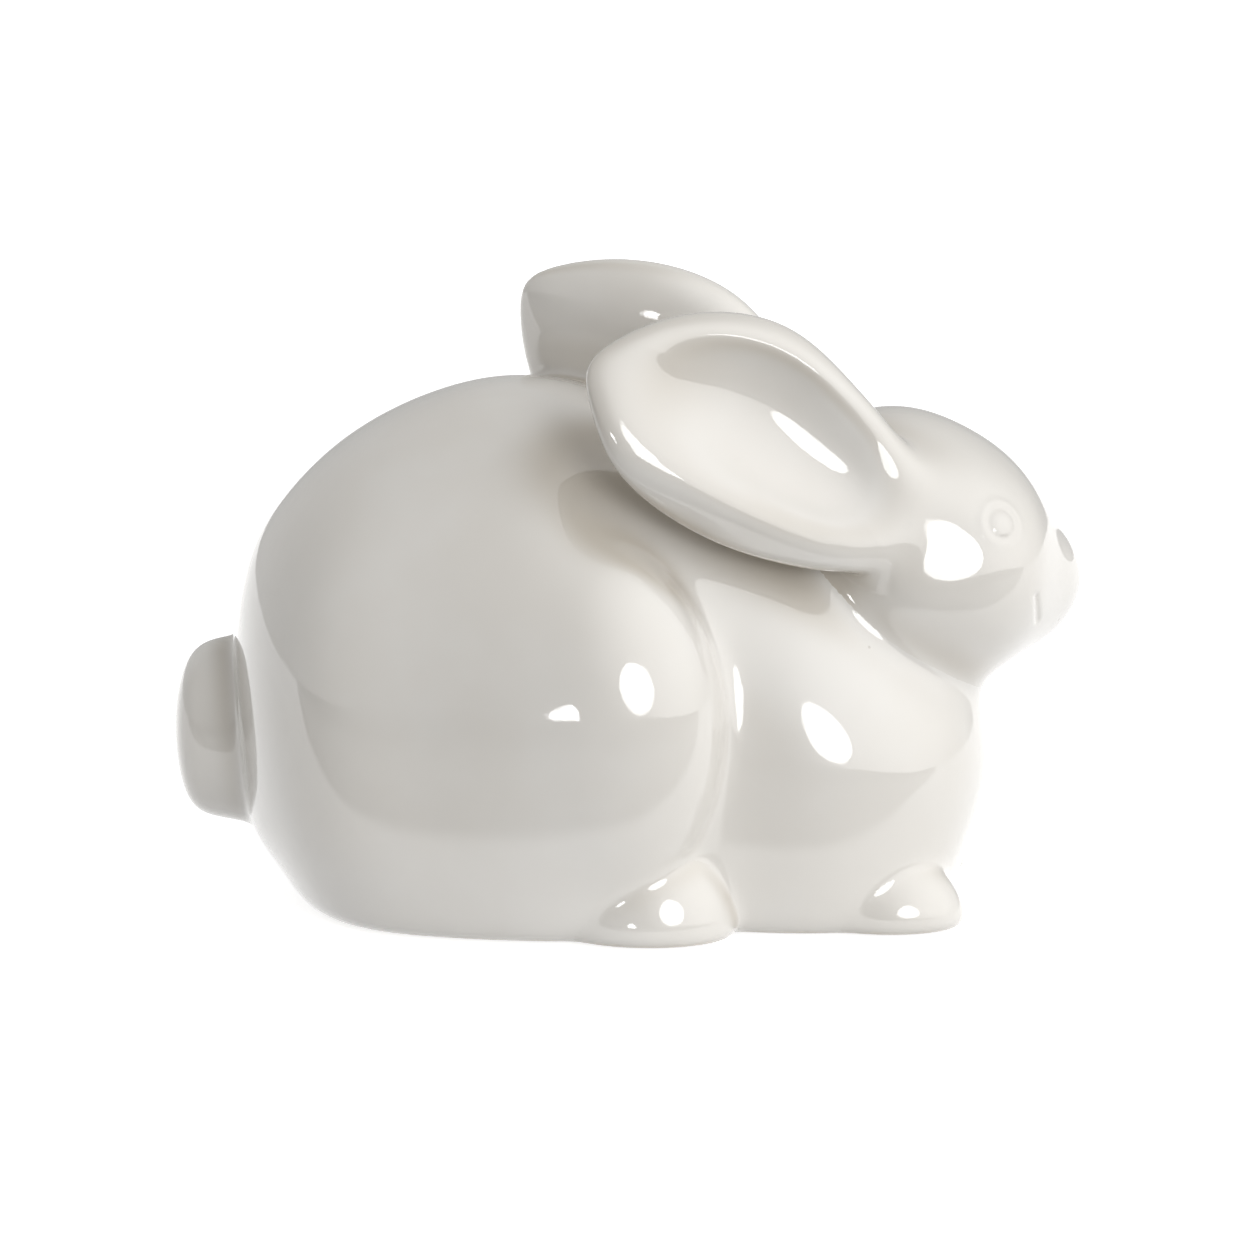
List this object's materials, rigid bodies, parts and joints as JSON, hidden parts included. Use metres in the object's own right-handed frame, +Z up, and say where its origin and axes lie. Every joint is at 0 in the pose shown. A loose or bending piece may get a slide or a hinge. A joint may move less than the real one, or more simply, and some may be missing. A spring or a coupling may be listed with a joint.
{
  "type": "rabbit figurine",
  "caption": "Crouching rabbit ornament in glossy off-white glazed ceramic, ears laid back, head turned a little to its left, on a flat foot.",
  "frame": {"origin": "on the resting face, under the body, in the middle plane of the body", "axes": "+X forward along the body towards the nose, +Y to the rabbit's left, +Z up"},
  "size_m": [0.12, 0.0734, 0.0837],
  "materials": {
    "glazed_clay": "gloss"
  },
  "bodies": {
    "root": {"body_shell": "glazed_clay", "head_shell": "glazed_clay", "right_ear": "glazed_clay", "left_ear": "glazed_clay", "tail": "glazed_clay", "right_hind_foot": "glazed_clay", "left_hind_foot": "glazed_clay", "right_forefoot": "glazed_clay", "left_forefoot": "glazed_clay"}
  },
  "joints": []
}
